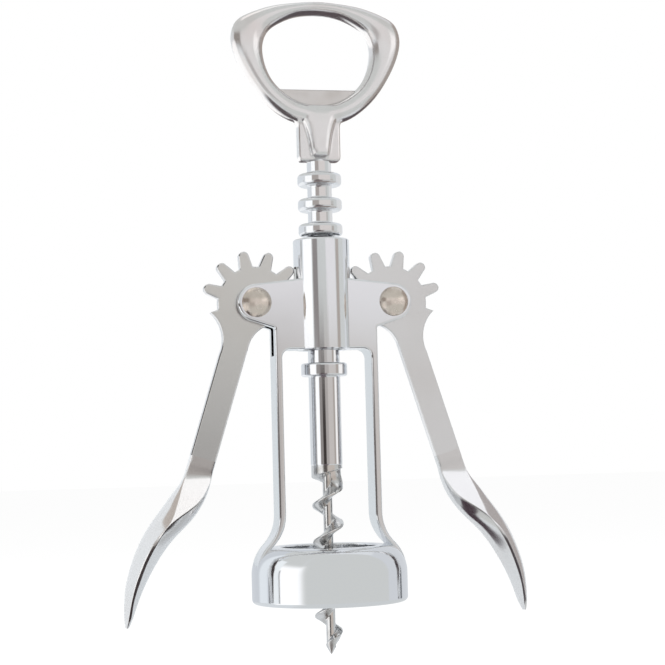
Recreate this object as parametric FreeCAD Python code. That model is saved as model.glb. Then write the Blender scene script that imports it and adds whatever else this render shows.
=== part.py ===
"""Wing corkscrew. Millimetres, +Z up along the screw, X through both lever pivots, -Y is the front.
The origin is the centre of the bell's bottom rim. Rest is the pose with the levers part way out."""
import FreeCAD, Part
import math
import os

Vec = FreeCAD.Vector
X_AXIS = Vec(1, 0, 0)
Y_AXIS = Vec(0, 1, 0)
Z_AXIS = Vec(0, 0, 1)

# Rod, rack and gears
rod_radius = 2.2
sleeve_wall = 1.2
teeth_per_turn = 12
rack_pitch = 7.1
rack_line = 5.94
rack_below_pivot = 7.8
ring_radius = 6.2
ring_thickness = 3.5
ring_rounding = 1.1
top_ring_height = 118.0
neck_length = 5.2
tooth_play = 0.8
tooth_spread = 0.9
first_tooth = -15.0
tooth_count = 7

# Levers
pivot_height = 83.2
lever_thickness = 3.0
shank_angle = 17.3
shank_width = 7.2
shank_offset = 1.9
shank_length = 51.0
spur_height = 2.4
spur_angle = 191.0
grip_drop = 42.0
grip_sweep = 17.5
grip_half_depth = 5.2

# Rivets
rivet_radius = 2.5
rivet_head_radius = 4.15
rivet_head_height = 2.2

# Frame: barrel, forks, legs and bell
barrel_wall = 1.6
barrel_below_pivot = 13.2
barrel_length = 31.1
fork_cheek = 2.8
fork_boss_radius = 5.2
fork_lean = 6.5
leg_outer = 14.55
leg_thickness = 1.9
fork_heel_gap = 1.9
leg_flare_height = 24.5
web_corner_radius = 2.4
frame_edge_rounding = 0.45
bell_wall = 2.35
bell_height = 15.5
bell_side_height = 8.0
bell_shoulder = 5.65
bell_mouth_radius = 19.3
bell_mouth_depth = 12.9
bell_hole_radius = 13.5
bell_foot_rounding = 1.3

# Screw: shank with a stop collar, and worm
screw_shank_radius = 4.45
collar_height = 3.7
collar_gap = 3.7
collar_lap = 0.15
collar_rounding = 0.6
screw_shank_end = 38.0
worm_relief = 0.1
worm_lead = 10.15
worm_core_radius = 1.3
worm_flight_base = 4.2
worm_crest = 0.5
worm_crest_height = 16.8
worm_tip_height = -14.4
worm_point_length = 8.5
worm_run_out = 5.0

# Handle with the opener ring
ring_half_width = 24.4
ring_height = 35.3
handle_half_depth = 4.3
handle_rounding = 1.4
hole_half_width = 15.4
hole_height = 26.1
hole_top_band = 3.4
stem_half_width = 6.0
stem_half_depth = 2.2
stem_length = 10.4
tongue_half_depth = 4.6
tongue_rounding = 0.8
tongue_foot = 1.3
tongue_lap = 4.9
tongue_low_half_width = 2.4
tongue_top_half_width = 5.6
ledge_rise = 10.0
ledge_thickness = 2.6
ledge_root = 1.0
rod_depth_in_stem = 10.0

# Clearances
bore_clearance = 0.1
fork_clearance = 0.35
tooth_tip_gap = 1.25
tooth_root_gap = 3.0
gear_clearance = 0.6
pivot_clearance = 0.05
rod_clearance = 0.05
end_play = 0.1

pitch_radius = teeth_per_turn * rack_pitch / (2 * math.pi)
pivot_spread = rack_line + pitch_radius
rack_root_radius = rod_radius + rod_clearance + sleeve_wall
tooth_tip_radius = pivot_spread - rack_root_radius - tooth_tip_gap
tooth_root_radius = pivot_spread - ring_radius - tooth_root_gap
tooth_tip_width = rack_pitch - ring_thickness - tooth_play
tooth_base_width = tooth_tip_width + tooth_spread
rings_below_top = round((top_ring_height - pivot_height + rack_below_pivot) / rack_pitch)
ring_count = rings_below_top + 1
lowest_ring_height = top_ring_height - rings_below_top * rack_pitch
sleeve_bottom = lowest_ring_height - ring_thickness / 2
barrel_bottom = pivot_height - barrel_below_pivot
barrel_bore_radius = ring_radius + bore_clearance
barrel_radius = barrel_bore_radius + barrel_wall
barrel_top = barrel_bottom + barrel_length
fork_slot_width = lever_thickness + 2 * fork_clearance
frame_depth = fork_slot_width + 2 * fork_cheek
fork_heel_height = pivot_height - fork_boss_radius - fork_heel_gap
leg_inner = leg_outer - leg_thickness
bell_radius = bell_mouth_radius + bell_wall
bell_top_radius = bell_radius - bell_shoulder
collar_top = barrel_bottom - collar_gap
collar_radius = barrel_bore_radius + collar_lap
worm_radius = screw_shank_radius - worm_relief
stem_bottom = top_ring_height + neck_length
ring_bottom = stem_bottom + stem_length
ring_top = ring_bottom + ring_height
hole_top = ring_top - hole_top_band
hole_bottom = hole_top - hole_height
ledge_height = ring_bottom + ledge_rise

# Right half of the opener ring's outer edge, as shares of its half width and of its height
RING_EDGE = [(0.0, 1.0), (0.279, 0.986), (0.557, 0.955), (0.828, 0.887), (0.955, 0.819), (1.0, 0.720),
             (0.984, 0.612), (0.918, 0.487), (0.811, 0.351), (0.668, 0.215), (0.475, 0.096),
             (0.262, 0.025), (0.0, 0.0)]

# Right half of the ring's hole, likewise
HOLE_EDGE = [(0.0, 1.0), (0.357, 0.977), (0.662, 0.904), (0.896, 0.801), (1.0, 0.659),
             (1.0, 0.521), (0.929, 0.360), (0.753, 0.195), (0.416, 0.054), (0.0, 0.0)]

# Grip slices: share of the drop below the grip's top, then x of the outer side, of the flat's outer and
# inner edges and of the inner side as shares of the sweep, and the share of half the depth
GRIP_SLICES = [
    (0.058, -0.063, -0.043, 0.386, 0.391, 0.38),
    (0.118, -0.169, -0.091, 0.314, 0.354, 0.56),
    (0.225, -0.371, -0.183, 0.109, 0.240, 0.75),
    (0.332, -0.571, -0.297, -0.269, 0.051, 0.88),
    (0.432, -0.720, -0.497, -0.474, -0.194, 0.96),
    (0.582, -0.874, -0.697, -0.674, -0.469, 1.00),
    (0.732, -0.971, -0.834, -0.811, -0.669, 0.92),
    (0.863, -1.000, -0.909, -0.886, -0.800, 0.73),
    (0.958, -0.994, -0.946, -0.929, -0.886, 0.46),
    (1.000, -0.977, -0.960, -0.949, -0.931, 0.25),
]


def mesh_phase():
    """Angle of the tooth gap that faces the rack ring nearest to the pivots' height."""
    steps = round((top_ring_height - pivot_height) / rack_pitch)
    ring = top_ring_height - steps * rack_pitch
    return math.degrees((ring - pivot_height) / pitch_radius)


def at(x, z, y=0.0):
    """Point of the side view: x to the right, z up."""
    return Vec(x, y, z)


def polar(radius, degrees, centre=(0.0, 0.0)):
    """Point of the side view at a radius and angle from a centre."""
    turn = math.radians(degrees)
    return at(centre[0] + radius * math.cos(turn), centre[1] + radius * math.sin(turn))


def line(start, end):
    return Part.LineSegment(start, end).toShape()


def arc(start, middle, end):
    return Part.Arc(start, middle, end).toShape()


def quarter(start, corner_point, end):
    """Quarter of an oval from start to end, inside the corner of the box round it."""
    pull = 0.5523
    curve = Part.BezierCurve()
    curve.setPoles([start, start + (corner_point - start) * pull, end + (corner_point - end) * pull, end])
    return curve.toShape()


def closed_curve(shares, half_width, low, height):
    """Smooth closed outline, symmetric about the screw's line, from the right half given in shares."""
    right = [at(x * half_width, low + z * height) for x, z in shares]
    left = [at(-point.x, point.z) for point in right[-2:0:-1]]
    curve = Part.BSplineCurve()
    curve.interpolate(Points=right + left, PeriodicFlag=True)
    return [curve.toShape()]


def plate(edges, half_depth):
    """Solid between two copies of an outline of the side view, at y = -half_depth and +half_depth."""
    face = Part.Face(Part.Wire(edges))
    face.translate(Vec(0, -half_depth, 0))
    return face.extrude(Vec(0, 2 * half_depth, 0))


def turned(edges):
    """Solid of revolution about the screw's line, from an outline at x >= 0 of the side view."""
    return Part.Face(Part.Wire(edges)).revolve(Vec(0, 0, 0), Z_AXIS, 360)


def mirrored(shape):
    return shape.mirror(Vec(0, 0, 0), X_AXIS)


def rounded(shape, radius, wanted):
    """Shape with the edges that pass the test rounded."""
    return shape.makeFillet(radius, [edge for edge in shape.Edges if wanted(edge)])


def flat_in_y(edge, level):
    """True where an edge lies in the plane y = level."""
    box = edge.BoundBox
    return abs(box.YMin - level) < 1e-4 and abs(box.YMax - level) < 1e-4


def outline_edges(half_depth):
    """Test for the edges round a plate's two faces."""
    return lambda edge: flat_in_y(edge, half_depth) or flat_in_y(edge, -half_depth)


def fork_outline():
    """Left web, fork lug and leg in the side view: a hook from the barrel to the pivot and the bell."""
    pivot = (-pivot_spread, pivot_height)
    boss = fork_boss_radius
    inside = -barrel_radius / 2
    boss_top = polar(boss, 90 + fork_lean, pivot)
    root = at(inside, boss_top.z + (inside - boss_top.x) * math.tan(math.radians(fork_lean)))
    heel = at(-leg_outer, fork_heel_height)
    reach = math.hypot(heel.x - pivot[0], heel.z - pivot[1])
    heel_angle = math.degrees(math.atan2(heel.z - pivot[1], heel.x - pivot[0]))
    boss_low_angle = heel_angle - math.degrees(math.acos(boss / reach))
    boss_low = polar(boss, boss_low_angle, pivot)
    boss_side = polar(boss, (90 + fork_lean + 360 + boss_low_angle) / 2, pivot)
    corner = web_corner_radius
    corner_centre = (-leg_inner + corner, barrel_bottom - corner)
    foot = bell_side_height
    return ([line(root, boss_top),
             arc(boss_top, boss_side, boss_low),
             line(boss_low, heel),
             line(heel, at(-leg_outer, leg_flare_height))]
            + flare(bell_radius, -leg_outer, foot)
            + [line(at(-bell_radius, foot), at(-bell_radius + leg_thickness, foot))]
            + flare(bell_radius - leg_thickness, -leg_inner, foot)[::-1]
            + [line(at(-leg_inner, leg_flare_height), at(-leg_inner, barrel_bottom - corner)),
               arc(polar(corner, 180, corner_centre), polar(corner, 135, corner_centre),
                   polar(corner, 90, corner_centre)),
               line(at(-leg_inner + corner, barrel_bottom), at(inside, barrel_bottom)),
               line(at(inside, barrel_bottom), root)])


def flare(end_radius, start_x, end_z):
    """Two equal arcs that carry a leg's face from x = start_x out to the bell's side, in an S."""
    out = end_radius + start_x
    down = leg_flare_height - end_z
    half_turn = math.atan2(out, down)
    radius = math.hypot(out, down) / 4 / math.sin(half_turn)
    top = at(start_x, leg_flare_height)
    middle = at(start_x - out / 2, leg_flare_height - down / 2)
    end = at(start_x - out, end_z)
    upper = at(start_x - radius * (1 - math.cos(half_turn)),
               leg_flare_height - radius * math.sin(half_turn))
    lower = at(end.x + radius * (1 - math.cos(half_turn)), end_z + radius * math.sin(half_turn))
    return [arc(top, upper, middle), arc(middle, lower, end)]


def bell():
    """Bell: turned cup with a round shoulder, open below for a bottle's neck and above for the cork."""
    foot = bell_foot_rounding
    shoulder = bell_height - bell_side_height
    knee = math.sqrt(0.5)
    return turned([
        line(at(bell_mouth_radius, 0), at(bell_radius - foot, 0)),
        arc(at(bell_radius - foot, 0), at(bell_radius - foot * (1 - knee), foot * (1 - knee)),
            at(bell_radius, foot)),
        line(at(bell_radius, foot), at(bell_radius, bell_side_height)),
        quarter(at(bell_radius, bell_side_height), at(bell_radius, bell_side_height + shoulder),
                at(bell_top_radius, bell_height)),
        line(at(bell_top_radius, bell_height), at(bell_hole_radius, bell_height)),
        line(at(bell_hole_radius, bell_height), at(bell_hole_radius, bell_mouth_depth)),
        line(at(bell_hole_radius, bell_mouth_depth), at(bell_mouth_radius, bell_mouth_depth)),
        line(at(bell_mouth_radius, bell_mouth_depth), at(bell_mouth_radius, 0))])


def frame():
    """One casting: barrel, two forks, two legs and the bell, with the rack bore and the gear slots."""
    half = frame_depth / 2
    arm = rounded(plate(fork_outline(), half), frame_edge_rounding, outline_edges(half))
    envelope = Part.makeCylinder(bell_radius, barrel_top, Vec(0, 0, 0), Z_AXIS)
    fork_reach = Part.makeBox(2 * (pivot_spread + tooth_tip_radius), 2 * frame_depth,
                              barrel_top - leg_flare_height,
                              Vec(-pivot_spread - tooth_tip_radius, -frame_depth, leg_flare_height))
    arm = arm.common(envelope.fuse(fork_reach))
    barrel = Part.makeCylinder(barrel_radius, barrel_length, Vec(0, 0, barrel_bottom), Z_AXIS)
    barrel = rounded(barrel, frame_edge_rounding,
                     lambda edge: abs(edge.BoundBox.ZMin - barrel_top) < 1e-4
                     and abs(edge.BoundBox.ZMax - barrel_top) < 1e-4)
    body = barrel.fuse([arm, mirrored(arm)]).removeSplitter()
    body = body.fuse(bell()).removeSplitter()
    bore = Part.makeCylinder(barrel_bore_radius, 2 * barrel_length,
                             Vec(0, 0, barrel_bottom - barrel_length / 2), Z_AXIS)
    mouth = Part.makeCylinder(bell_hole_radius, 2 * bell_height, Vec(0, 0, -bell_height / 2), Z_AXIS)
    cup = Part.makeCylinder(bell_mouth_radius, bell_mouth_depth, Vec(0, 0, 0), Z_AXIS)
    cuts = [bore, mouth, cup]
    for side in (-1, 1):
        cuts.append(disc(side, tooth_tip_radius + gear_clearance, fork_slot_width / 2))
        cuts.append(disc(side, rivet_radius, frame_depth))
    return body.cut(cuts)


def disc(side, radius, half_depth):
    """Cylinder across the object at a pivot."""
    return Part.makeCylinder(radius, 2 * half_depth,
                             Vec(side * pivot_spread, -half_depth, pivot_height), Y_AXIS)


def tooth_edges(angle, last):
    """One tooth: two straight flanks and a round tip, then the root arc to the next tooth."""
    base = math.degrees(tooth_base_width / 2 / tooth_root_radius)
    shoulder_radius = tooth_tip_radius - tooth_tip_width / 2.4
    shoulder = math.degrees(tooth_tip_width / 2 / shoulder_radius)
    step = 360.0 / teeth_per_turn
    low = polar(tooth_root_radius, angle - base)
    up = polar(shoulder_radius, angle - shoulder)
    down = polar(shoulder_radius, angle + shoulder)
    back = polar(tooth_root_radius, angle + base)
    edges = [line(low, up), arc(up, polar(tooth_tip_radius, angle), down), line(down, back)]
    if not last:
        edges.append(arc(back, polar(tooth_root_radius, angle + step / 2),
                         polar(tooth_root_radius, angle + step - base)))
    return edges


def shank_point(along, across):
    """Point of the left lever from its pivot: along the shank, and across it towards the outside."""
    turn = math.radians(shank_angle)
    direction = Vec(-math.sin(turn), 0, -math.cos(turn))
    outward = Vec(-math.cos(turn), 0, math.sin(turn))
    return direction * along + outward * across


def lever_plate():
    """Flat part of the left lever, pivot at the origin: toothed sector, hub and straight shank."""
    phase = mesh_phase() + first_tooth
    step = 360.0 / teeth_per_turn
    hub = tooth_root_radius
    base = math.degrees(tooth_base_width / 2 / hub)
    edges = []
    for number in range(tooth_count):
        edges += tooth_edges(phase + number * step, number == tooth_count - 1)
    outer = shank_offset + shank_width / 2
    inner = shank_offset - shank_width / 2
    last_root = phase + (tooth_count - 1) * step + base
    spur_root = polar(hub * 1.03, spur_angle - 2)
    spur_tip = polar(hub + spur_height, spur_angle)
    outer_start = shank_point(hub * 1.6, outer)
    inner_start = shank_point(hub * 1.2, inner)
    inner_top = polar(hub * 0.73, -53)
    edges += [arc(polar(hub, last_root), polar(hub, (last_root + spur_angle - 2) / 2), spur_root),
              line(spur_root, spur_tip),
              arc(spur_tip, polar(hub * 1.22, 222.5), outer_start),
              line(outer_start, shank_point(shank_length, outer)),
              line(shank_point(shank_length, outer), shank_point(shank_length, inner)),
              line(shank_point(shank_length, inner), inner_start),
              arc(inner_start, polar(hub * 0.79, -87), inner_top),
              line(inner_top, polar(hub, phase - base))]
    return plate(edges, lever_thickness / 2)


def grip_section(drop, outer, flat_outer, flat_inner, inner, half_depth):
    """Level slice of the grip: flat or ridge in front and behind, and two bulging sides."""
    z = -drop
    corner = half_depth
    wire = Part.Wire([
        line(at(flat_outer, z, -corner), at(flat_inner, z, -corner)),
        arc(at(flat_inner, z, -corner), at(inner, z), at(flat_inner, z, corner)),
        line(at(flat_inner, z, corner), at(flat_outer, z, corner)),
        arc(at(flat_outer, z, corner), at(outer, z), at(flat_outer, z, -corner))])
    return wire


def grip():
    """Wing grip of the left lever, pivot at the origin: a curved leaf broad side out."""
    outer = shank_offset + shank_width / 2
    inner = shank_offset - shank_width / 2
    drop = -shank_point(shank_length, outer).z - lever_thickness / 3
    top_outer = shank_edge_x(drop, outer)
    top_inner = shank_edge_x(drop, inner)
    bulge = lever_thickness / 60
    sections = [grip_section(drop, top_outer - bulge, top_outer, top_inner, top_inner + bulge,
                             lever_thickness / 2)]
    for step, out, flat_out, flat_in, into, depth in GRIP_SLICES:
        sections.append(grip_section(drop + step * grip_drop, top_outer + out * grip_sweep,
                                     top_outer + flat_out * grip_sweep, top_outer + flat_in * grip_sweep,
                                     top_outer + into * grip_sweep, depth * grip_half_depth))
    return Part.makeLoft(sections, True, False)


def shank_edge_x(drop, across):
    """x of a shank edge at a drop below the pivot."""
    turn = math.radians(shank_angle)
    start = shank_point(0, across)
    return start.x - (drop + start.z) * math.tan(turn)


def lever():
    """Left lever at its place: sector, shank and grip in one piece, with the rivet hole."""
    hole = Part.makeCylinder(rivet_radius + pivot_clearance, 2 * lever_thickness,
                             Vec(0, -lever_thickness, 0), Y_AXIS)
    solid = lever_plate().fuse(grip()).removeSplitter().cut(hole)
    solid.translate(Vec(-pivot_spread, 0, pivot_height))
    return solid


def rivet():
    """Left rivet: shank across the fork with a domed head at each end."""
    half = frame_depth / 2
    base = rivet_head_radius
    rise = rivet_head_height
    sphere = (base ** 2 + rise ** 2) / (2 * rise)
    sweep = math.asin(base / sphere) / 2
    knee_x = sphere * math.sin(sweep)
    knee_z = half + rise - sphere * (1 - math.cos(sweep))
    profile = [line(at(0, -half - rise), at(0, half + rise)),
               arc(at(0, half + rise), at(knee_x, knee_z), at(base, half)),
               line(at(base, half), at(rivet_radius, half)),
               line(at(rivet_radius, half), at(rivet_radius, -half)),
               line(at(rivet_radius, -half), at(base, -half)),
               arc(at(base, -half), at(knee_x, -knee_z), at(0, -half - rise))]
    solid = turned(profile)
    solid.rotate(Vec(0, 0, 0), X_AXIS, 90)
    solid.translate(Vec(-pivot_spread, 0, pivot_height))
    return solid


def rack_sleeve():
    """Toothed sleeve: round-edged rings on a tube that the screw's rod turns in."""
    tube = Part.makeCylinder(rack_root_radius, stem_bottom - end_play - sleeve_bottom,
                             Vec(0, 0, sleeve_bottom), Z_AXIS)
    rings = []
    for number in range(ring_count):
        low = top_ring_height - number * rack_pitch - ring_thickness / 2
        ring = Part.makeCylinder(ring_radius, ring_thickness, Vec(0, 0, low), Z_AXIS)
        rings.append(ring.makeFillet(ring_rounding, rim_edges(ring, ring_radius)))
    bore = Part.makeCylinder(rod_radius + rod_clearance, stem_bottom, Vec(0, 0, 0), Z_AXIS)
    return tube.fuse(rings).removeSplitter().cut(bore)


def rim_edges(shape, radius):
    """Round edges of a turned shape at a radius."""
    return [edge for edge in shape.Edges
            if isinstance(edge.Curve, Part.Circle) and abs(edge.Curve.Radius - radius) < 1e-6]


def worm():
    """Right-handed sharp flight on a thin core, turned to the worm's size and to a point below."""
    low = worm_tip_height - worm_lead
    turns = (worm_crest_height - low) / worm_lead
    start_angle = 180 - 360 * (turns - math.floor(turns))
    helix = Part.makeHelix(worm_lead, screw_shank_end - low, worm_core_radius)
    bottom = worm_core_radius / 2
    top = worm_radius + worm_core_radius / 2
    section = Part.Wire([
        line(at(bottom, -worm_flight_base / 2), at(top, -worm_crest / 2)),
        line(at(top, -worm_crest / 2), at(top, worm_crest / 2)),
        line(at(top, worm_crest / 2), at(bottom, worm_flight_base / 2)),
        line(at(bottom, worm_flight_base / 2), at(bottom, -worm_flight_base / 2))])
    flight = Part.Wire(helix).makePipeShell([section], True, True)
    flight.rotate(Vec(0, 0, 0), Z_AXIS, start_angle)
    flight.translate(Vec(0, 0, low))
    end = screw_shank_end + worm_crest
    core = Part.makeCylinder(worm_core_radius, end + worm_lead - low, Vec(0, 0, low), Z_AXIS)
    tip = at(0, worm_tip_height)
    cone = at(worm_radius, worm_tip_height + worm_point_length)
    envelope = turned([line(tip, cone), line(cone, at(worm_radius, end)),
                       line(at(worm_radius, end), at(0, end)), line(at(0, end), tip)])
    return flight.fuse(core).common(envelope)


def screw():
    """Rod, shank with its stop collar, and worm: one steel piece that turns in the rack sleeve."""
    radius = screw_shank_radius
    start = screw_shank_end
    shank_top = sleeve_bottom - end_play
    rod_top = stem_bottom + rod_depth_in_stem
    foot = collar_top - collar_height
    run_out = at(worm_core_radius / 2, start - worm_run_out)
    body = turned([line(at(0, run_out.z), run_out),
                   line(run_out, at(radius, start)),
                   line(at(radius, start), at(radius, foot)),
                   line(at(radius, foot), at(collar_radius - collar_rounding, foot)),
                   corner(collar_radius, foot, collar_rounding, 1),
                   line(at(collar_radius, foot + collar_rounding),
                        at(collar_radius, collar_top - collar_rounding)),
                   corner(collar_radius, collar_top, collar_rounding, -1),
                   line(at(collar_radius - collar_rounding, collar_top), at(radius, collar_top)),
                   line(at(radius, collar_top), at(radius, shank_top)),
                   line(at(radius, shank_top), at(rod_radius, shank_top)),
                   line(at(rod_radius, shank_top), at(rod_radius, rod_top)),
                   line(at(rod_radius, rod_top), at(0, rod_top)),
                   line(at(0, rod_top), at(0, run_out.z))])
    return worm().fuse(body).removeSplitter()


def corner(x, z, radius, way):
    """Rounded outer corner of a turned outline: way is 1 at a lower face and -1 at an upper one."""
    knee = radius * (1 - math.sqrt(0.5))
    return arc(at(x - radius, z), at(x - knee, z + way * knee), at(x, z + way * radius))


def handle():
    """Opener ring on a ribbed stem, with a thin ledge across the ring's lower end for bottle caps."""
    depth = handle_half_depth
    hole = closed_curve(HOLE_EDGE, hole_half_width, hole_bottom, hole_height)
    ring = plate(closed_curve(RING_EDGE, ring_half_width, ring_bottom, ring_height), depth)
    ring = ring.cut(plate(hole, 2 * depth))
    ring = rounded(ring, handle_rounding, outline_edges(depth))
    root = ledge_root
    ledge = plate(closed_curve(HOLE_EDGE, hole_half_width + root, hole_bottom - root,
                               hole_height + 2 * root), ledge_thickness / 2)
    above = 2 * ring_half_width
    ledge = ledge.cut(Part.makeBox(above, above, above, Vec(-above / 2, -above / 2, ledge_height)))
    stem = Part.makeBox(2 * stem_half_width, 2 * stem_half_depth, stem_length + handle_rounding,
                        Vec(-stem_half_width, -stem_half_depth, stem_bottom))
    stem = rounded(stem, stem_half_depth * 0.7, lambda edge: edge.BoundBox.ZLength > stem_half_depth)
    top = ring_bottom + tongue_lap
    low = stem_bottom + tongue_foot
    tongue = plate([line(at(-tongue_top_half_width, top), at(-tongue_low_half_width, low)),
                    line(at(-tongue_low_half_width, low), at(tongue_low_half_width, low)),
                    line(at(tongue_low_half_width, low), at(tongue_top_half_width, top)),
                    line(at(tongue_top_half_width, top), at(-tongue_top_half_width, top))],
                   tongue_half_depth)
    tongue = rounded(tongue, tongue_rounding, outline_edges(tongue_half_depth))
    bore = Part.makeCylinder(rod_radius, rod_depth_in_stem, Vec(0, 0, stem_bottom), Z_AXIS)
    return ring.fuse([ledge, stem, tongue]).cut(bore)


def main():
    os.makedirs("parts", exist_ok=True)
    left_lever = lever()
    left_rivet = rivet()
    nodes = {
        "frame": frame(),
        "left_lever": left_lever,
        "right_lever": mirrored(left_lever),
        "left_rivet": left_rivet,
        "right_rivet": mirrored(left_rivet),
        "rack_sleeve": rack_sleeve(),
        "screw": screw(),
        "handle": handle(),
    }
    for name, shape in nodes.items():
        box = shape.BoundBox
        print(name, shape.isValid(), len(shape.Solids), round(shape.Volume, 1),
              [round(v, 2) for v in (box.XMin, box.YMin, box.ZMin, box.XMax, box.YMax, box.ZMax)])
        shape.exportStep("parts/" + name + ".step")
    print("pitch radius", round(pitch_radius, 3), "mesh phase", round(mesh_phase(), 2))


main()
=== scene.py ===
"""Looks of a chrome wing corkscrew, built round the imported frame.

Sizes are in millimetres with +Z up along the screw, X through both pivots and -Y to the front.
Every new piece is a surface worked out on a grid of two parameters, turned into metres at the end.
"""
import math

import bmesh
import bpy
import numpy as np
from mathutils import Matrix

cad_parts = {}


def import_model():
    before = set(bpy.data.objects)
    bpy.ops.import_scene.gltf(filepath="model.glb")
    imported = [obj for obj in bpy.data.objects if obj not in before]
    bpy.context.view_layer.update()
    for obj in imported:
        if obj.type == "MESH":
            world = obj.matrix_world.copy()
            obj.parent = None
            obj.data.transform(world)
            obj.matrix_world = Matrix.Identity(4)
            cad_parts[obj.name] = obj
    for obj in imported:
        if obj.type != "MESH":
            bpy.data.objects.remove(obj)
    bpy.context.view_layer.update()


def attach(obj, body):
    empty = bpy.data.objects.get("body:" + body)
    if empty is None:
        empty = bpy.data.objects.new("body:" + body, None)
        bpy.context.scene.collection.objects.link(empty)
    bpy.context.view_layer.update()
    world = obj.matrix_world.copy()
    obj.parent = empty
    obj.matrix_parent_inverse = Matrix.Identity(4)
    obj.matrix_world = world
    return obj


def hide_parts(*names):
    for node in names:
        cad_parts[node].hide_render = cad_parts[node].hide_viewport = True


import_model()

# Rack, rod and gears
ROD_R, RACK_ROOT_R, RING_R, RING_THICK, RING_ROUND = 2.2, 3.45, 6.2, 3.5, 1.1
RACK_PITCH, RING_COUNT, TOP_RING = 7.1, 7, 118.0
PITCH_R = 12 * RACK_PITCH / (2 * math.pi)
TOOTH_TIP_R, TOOTH_ROOT_R, TOOTH_TIP_W, TOOTH_BASE_W = 14.8, 10.3, 2.8, 3.7
FIRST_TOOTH, TOOTH_COUNT, TOOTH_STEP = -15.0, 7, 30.0
TOOTH_RIM = 0.4

# Pivots, levers and rivets
PIVOT_X, PIVOT_Z = 19.5, 83.2
LEVER_THICK, SHANK_W, SHANK_OFF, SHANK_LEAN = 3.0, 7.2, 1.9, math.radians(17.3)
OUTER, INNER = SHANK_OFF + SHANK_W / 2, SHANK_OFF - SHANK_W / 2
# Along the shank: the gear piece ends at the first, and the grip's sides turn over the rest
BEND = (45.2, 45.9, 46.6, 47.2)
SPUR_RISE, SPUR_ANGLE = 2.4, 191.0
RIVET_R, RIVET_HEAD_R, RIVET_HEAD_H = 2.5, 4.15, 2.2

# Frame casting
BARREL_R, BORE_R, BARREL_LOW, BARREL_TOP = 7.9, 6.3, 70.0, 101.1
HALF_DEPTH, SLOT_HALF, SLOT_R, WINDOW_HALF, HOOK_RIM = 4.65, 1.85, 15.4, 10.13, 0.55
BOSS_R, FORK_LEAN, HEEL_Z = 5.2, 6.5, 76.1
LEG_OUT, LEG_IN, FLARE_Z, WEB_CORNER = 14.55, 12.65, 24.5, 2.4
BELL_R, BELL_TOP_R, BELL_TOP, BELL_SIDE = 21.65, 16.0, 15.5, 8.0
BELL_MOUTH_R, BELL_MOUTH_DEPTH, BELL_HOLE_R = 19.3, 12.9, 13.5

# Screw
SHANK_R, SHANK_TOP, SHANK_END, COLLAR_R, COLLAR_TOP, COLLAR_H = 4.45, 73.55, 38.0, 6.45, 66.3, 3.7
WORM_R, WORM_CORE, WORM_LEAD, WORM_CREST_Z, WORM_TIP, WORM_POINT = 4.35, 1.3, 10.15, 16.8, -14.4, 8.5
CREST_LAND, FLANK_W, RUNOUT_LOW, RUNOUT_TALL = 0.22, 1.65, 29.5, 8.0

# Handle: the stem's flare is (how much wider, height), the rib's rows are (height, half size)
STEM_LOW, STEM_HALF_W, STEM_HALF_D, STEM_ROUND, STEM_RIM = 123.2, 6.0, 2.2, 1.0, 0.7
STEM_FLARE = [(3.6, 137.0), (2.6, 135.9), (1.4, 135.2), (0.6, 134.5), (0.15, 133.8), (0.0, 133.0)]
RIB_WIDTH = [(124.35, 1.4), (124.6, 2.2), (125.1, 2.6), (126.0, 2.8), (128.2, 3.1), (131.0, 3.65),
             (133.4, 4.4), (135.5, 5.3), (137.2, 6.6), (139.0, 8.6)]
RIB_DEPTH = [(124.35, 3.4), (124.6, 4.1), (125.1, 4.4), (126.0, 4.55), (134.0, 4.55), (137.0, 4.35),
             (139.0, 3.4)]
RIB_POWER, RING_WIDTH_POWER, RING_DEPTH_POWER = 0.55, 0.88, 0.97
RING_LOW, RING_TALL, RING_HALF_W, RING_HALF_D, RING_MIDDLE_Z = 133.6, 35.3, 24.4, 4.3, 152.5
HOLE_LOW, HOLE_TALL, HOLE_HALF_W, LEDGE_Z, LEDGE_HALF_D = 139.4, 26.1, 15.4, 143.6, 1.3
RING_EDGE = [(0.0, 1.0), (0.279, 0.986), (0.557, 0.955), (0.828, 0.887), (0.955, 0.819), (1.0, 0.720),
             (0.984, 0.612), (0.918, 0.487), (0.811, 0.351), (0.668, 0.215), (0.475, 0.096),
             (0.262, 0.025), (0.0, 0.0)]
HOLE_EDGE = [(0.0, 1.0), (0.357, 0.977), (0.662, 0.904), (0.896, 0.801), (1.0, 0.659),
             (1.0, 0.521), (0.929, 0.360), (0.753, 0.195), (0.416, 0.054), (0.0, 0.0)]

# Grip stations below the pivot: drop, x of the outer side, of the front flat's two edges and of the
# inner side, half depth, and the power of the side's curve (high is square, 2 is a plain bow)
GRIP = [(48.6, -21.25, -20.9, -13.4, -13.2, 1.6, 9.0),
        (51.0, -23.05, -21.7, -14.6, -13.9, 2.3, 5.0),
        (55.5, -26.6, -23.3, -18.2, -15.9, 3.75, 2.8),
        (60.0, -30.1, -25.3, -24.8, -19.2, 4.6, 2.2),
        (64.2, -32.7, -29.0, -28.2, -23.5, 5.35, 2.0),
        (70.5, -35.4, -32.5, -31.6, -28.3, 5.0, 2.0),
        (76.8, -37.1, -34.9, -34.0, -31.8, 4.35, 2.0),
        (82.3, -37.6, -36.15, -35.45, -34.1, 3.4, 2.0),
        (86.3, -37.5, -36.75, -36.3, -35.6, 2.3, 2.0),
        (87.8, -37.3, -36.9, -36.8, -36.3, 1.2, 2.0)]

# Camera: place in metres, degrees turned right, up and over, and focal length in the picture's pixels
CAMERA_PLACE = (-0.09897, -0.4656, 0.0412)
CAMERA_TURN, CAMERA_PITCH, CAMERA_ROLL = 12.313, 4.048, -1.519
FOCAL_PIXELS, PICTURE_PIXELS, SENSOR_W = 1700.0, 665, 36.0

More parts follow.
